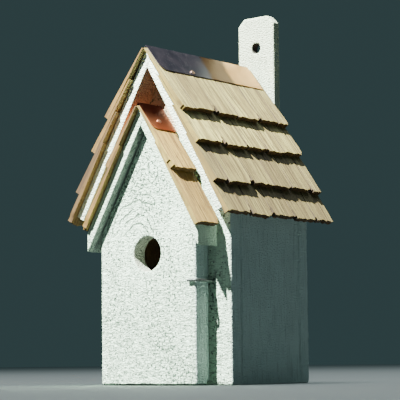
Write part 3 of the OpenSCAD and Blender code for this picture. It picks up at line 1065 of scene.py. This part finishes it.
def copper_finish(name, roughness, cap_colours):
    finish, tree, shader = new_finish(name, roughness, 1.0)
    at = node(tree, "TexCoord", {}).outputs["Object"]
    parts = node(tree, "SeparateXYZ", {"Vector": at}).outputs
    wander = calc(tree, "SUBTRACT", noise(tree, at, (38, 38, 38), 3), 0.5)
    shade = cap_colours(tree, parts, product(tree, wander, 0.08))
    blotch = noise(tree, at, (70, 70, 70), 5, (2, 7, 1))
    shade = blend(tree, level(tree, blotch, 0.40, 0.80, 0, 0.18), shade, (0.20, 0.09, 0.06))
    tree.links.new(shade, shader.inputs["Base Color"])
    gloss = level(tree, blotch, 0.3, 0.7, roughness - 0.03, roughness + 0.05)
    tree.links.new(gloss, shader.inputs["Roughness"])
    dents = noise(tree, at, (45, 45, 45), 2, (6, 6, 6))
    raise_surface(tree, shader, dents, 0.0003, 0.5)
    return finish


cap_low, cap_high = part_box("main_ridge_cap")
porch_cap_low, porch_cap_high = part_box("porch_ridge_cap")


# Painted reflection: dark violet at the front, then brown, then pink towards the back and low down.
def long_cap_reflection(tree, parts, wander):
    back = calc(tree, "ADD", share_of(tree, parts[1], cap_low[1], cap_high[1]), wander)
    lean = product(tree, calc(tree, "SUBTRACT", cap_high[2], parts[2]), 1.2)
    back = calc(tree, "ADD", back, lean)
    brown = blend(tree, level(tree, back, 0.49, 0.52), (0.16, 0.145, 0.20), (0.20, 0.09, 0.03))
    return blend(tree, level(tree, back, 0.72, 0.76), brown, (0.80, 0.42, 0.16))


def porch_cap_colours(tree, parts, wander):
    fall = share_of(tree, parts[2], porch_cap_high[2], porch_cap_low[2])
    fall = calc(tree, "ADD", fall, product(tree, wander, 4))
    return blend(tree, level(tree, fall, 0.35, 0.95), (0.09, 0.018, 0.012), (0.84, 0.34, 0.18))


long_copper = copper_finish("copper_painted_reflection", 0.38, long_cap_reflection)
porch_copper = copper_finish("red_copper", 0.34, porch_cap_colours)
print("copper:", long_copper.name, porch_copper.name)

# %% [markdown]
# ## A flat blank for each cap
# Each cap is one thin sheet, creased along the middle. It is cut out flat first, as a
# roofer would: a plane whose two front corners are rounded with a vertex bevel. Slices
# along and across it give it enough points to be folded and slightly dented.

# %% Cut the blanks
CAP_W, CAP_R = 0.037, 0.009
SLICE_Y = 0.006


def slice_sheet(obj, axis, first, last, step):
    bpy.ops.object.mode_set(mode="EDIT")
    normal = Vector((0, 0, 0))
    normal[axis] = 1
    at = first + step
    while at < last - step / 3:
        bpy.ops.mesh.select_all(action="SELECT")
        bpy.ops.mesh.bisect(plane_co=normal * at, plane_no=normal)
        at += step
    bpy.ops.object.mode_set(mode="OBJECT")


def flat_blank(low, high):
    bpy.ops.object.select_all(action="DESELECT")
    bpy.ops.mesh.primitive_plane_add(size=1, location=(0, (low[1] + high[1]) / 2, 0))
    blank = bpy.context.object
    blank.scale = (2 * CAP_W, high[1] - low[1], 1)
    bpy.ops.object.transform_apply(location=True, rotation=True, scale=True)
    choose(blank, lambda c: c.y < low[1] + HAIR * 10)
    bpy.ops.mesh.bevel(offset=CAP_R, offset_type="OFFSET", segments=8, affect="VERTICES")
    bpy.ops.object.mode_set(mode="OBJECT")
    slice_sheet(blank, 0, -CAP_W, CAP_W, CAP_W / 6)
    slice_sheet(blank, 1, low[1], high[1], SLICE_Y)
    return blank


print("each half of a cap is", CAP_W / MM, "mm wide")

# %% [markdown]
# ## Folding the caps
# Each half is turned down about the crease until it lies flat on the top course. With
# no window open, the rotate operator turns the other way, hence the minus sign. A slow
# displacement dents the sheet, and Solidify gives it its thickness, outwards, so it
# never sinks into the shingles.

# %% Fold the ridge caps
CAP_T, DENT = 0.0008, 0.0007
DENT_CLOUD = cloud_texture("dents", 0.022, 1)


def fold(cap, slope):
    for side in (-1, 1):
        choose(cap, lambda c: c.x * side > HAIR)
        bpy.ops.transform.rotate(
            value=-side * slope, orient_axis="Y", orient_type="GLOBAL", center_override=(0, 0, 0)
        )
        bpy.ops.object.mode_set(mode="OBJECT")


def folded_cap(name, node_name, heads, butts, ridge, finish, slot):
    low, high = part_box(node_name)
    rise = (upper_face(heads, butts, 0, butts[0]) - HEAD_T / MM) / (butts[0] - heads[0])
    slope = PITCH - math.atan(rise)
    start = on_slope(1, heads[0], (HEAD_T + FIT) / MM, ridge + RISE)
    cap = flat_blank(low, high)
    fold(cap, slope)
    cap.location.z = start.z + start.x * math.tan(slope)
    bpy.ops.object.transform_apply(location=True, rotation=True, scale=True)
    apply_modifier(
        cap, "DISPLACE", texture=DENT_CLOUD, texture_coords="LOCAL", strength=DENT, mid_level=0.35
    )
    apply_modifier(cap, "SOLIDIFY", thickness=CAP_T, offset=1)
    cap.name = cap.data.name = name
    take(cap)
    bpy.ops.object.shade_smooth_by_angle(angle=math.radians(30))
    lowest = min(point.co.z for point in cap.data.vertices)
    print(name, "reaches down to z", round(lowest / MM, 1), "mm, the frame's to", round(low[2] / MM, 1))
    fit(cap, finish, "house", slot, node_name)


folded_cap("long_cap", "main_ridge_cap", MAIN_HEADS, MAIN_BUTTS, ridge_z, long_copper, "copper_main")
folded_cap(
    "short_cap", "porch_ridge_cap", PORCH_HEADS, PORCH_BUTTS[-1], porch_ridge, porch_copper,
    "copper_porch",
)

# %% [markdown]
# ## Small metal
# Hook, hinges, screws and nails already have the right shapes, so they stay as they are
# and only get a finish: dull zinc on the wire hook, made very dark as painted shade,
# bright plate on the hinges, steel on the screws, copper on the cap nails, and paint
# over the heads of the others.

# %% Finish the metal
def metal_finish(name, bright, dull, roughness, grime=0.4):
    finish, tree, shader = new_finish(name, roughness, 1.0)
    at = node(tree, "TexCoord", {}).outputs["Object"]
    cloud = noise(tree, at, (260, 260, 260), 4)
    shade = blend(tree, level(tree, cloud, 0.35, 0.7, 0, grime), bright, dull)
    tree.links.new(shade, shader.inputs["Base Color"])
    gloss = level(tree, cloud, 0.3, 0.7, roughness, roughness + 0.2)
    tree.links.new(gloss, shader.inputs["Roughness"])
    raise_surface(tree, shader, noise(tree, at, (1500, 1500, 1500), 2), 0.0001, 0.5)
    return finish


# Painted shade: the hook's zinc is much darker than bare zinc.
zinc_with_painted_shade = metal_finish("zinc_with_painted_shade", (0.22, 0.24, 0.24), (0.07, 0.08, 0.08), 0.42, 0.9)
plate_zinc = metal_finish("plated_hinge", (0.60, 0.62, 0.63), (0.30, 0.29, 0.26), 0.36)
screw_steel = metal_finish("screw_steel", (0.62, 0.60, 0.55), (0.28, 0.24, 0.18), 0.34)
nail_copper = metal_finish("nail_copper", (0.85, 0.56, 0.42), (0.40, 0.20, 0.13), 0.30)
for finish, names in (
    (zinc_with_painted_shade, ["latch_hook"]),
    (plate_zinc, ["hinge_wall_leaves", "hinge_door_leaves", "hinge_pins"]),
    (screw_steel, ["hinge_screws_wall", "hinge_screws_door", "spacer_screws", "hanging_board_screws"]),
    (nail_copper, ["ridge_cap_nails"]),
    (front_paint, ["wall_nails", "roof_nails", "porch_nails"]),
):
    for name in names:
        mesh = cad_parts[name].data
        mesh.materials.clear()
        mesh.materials.append(finish)
    print(finish.name, "on", ", ".join(names))
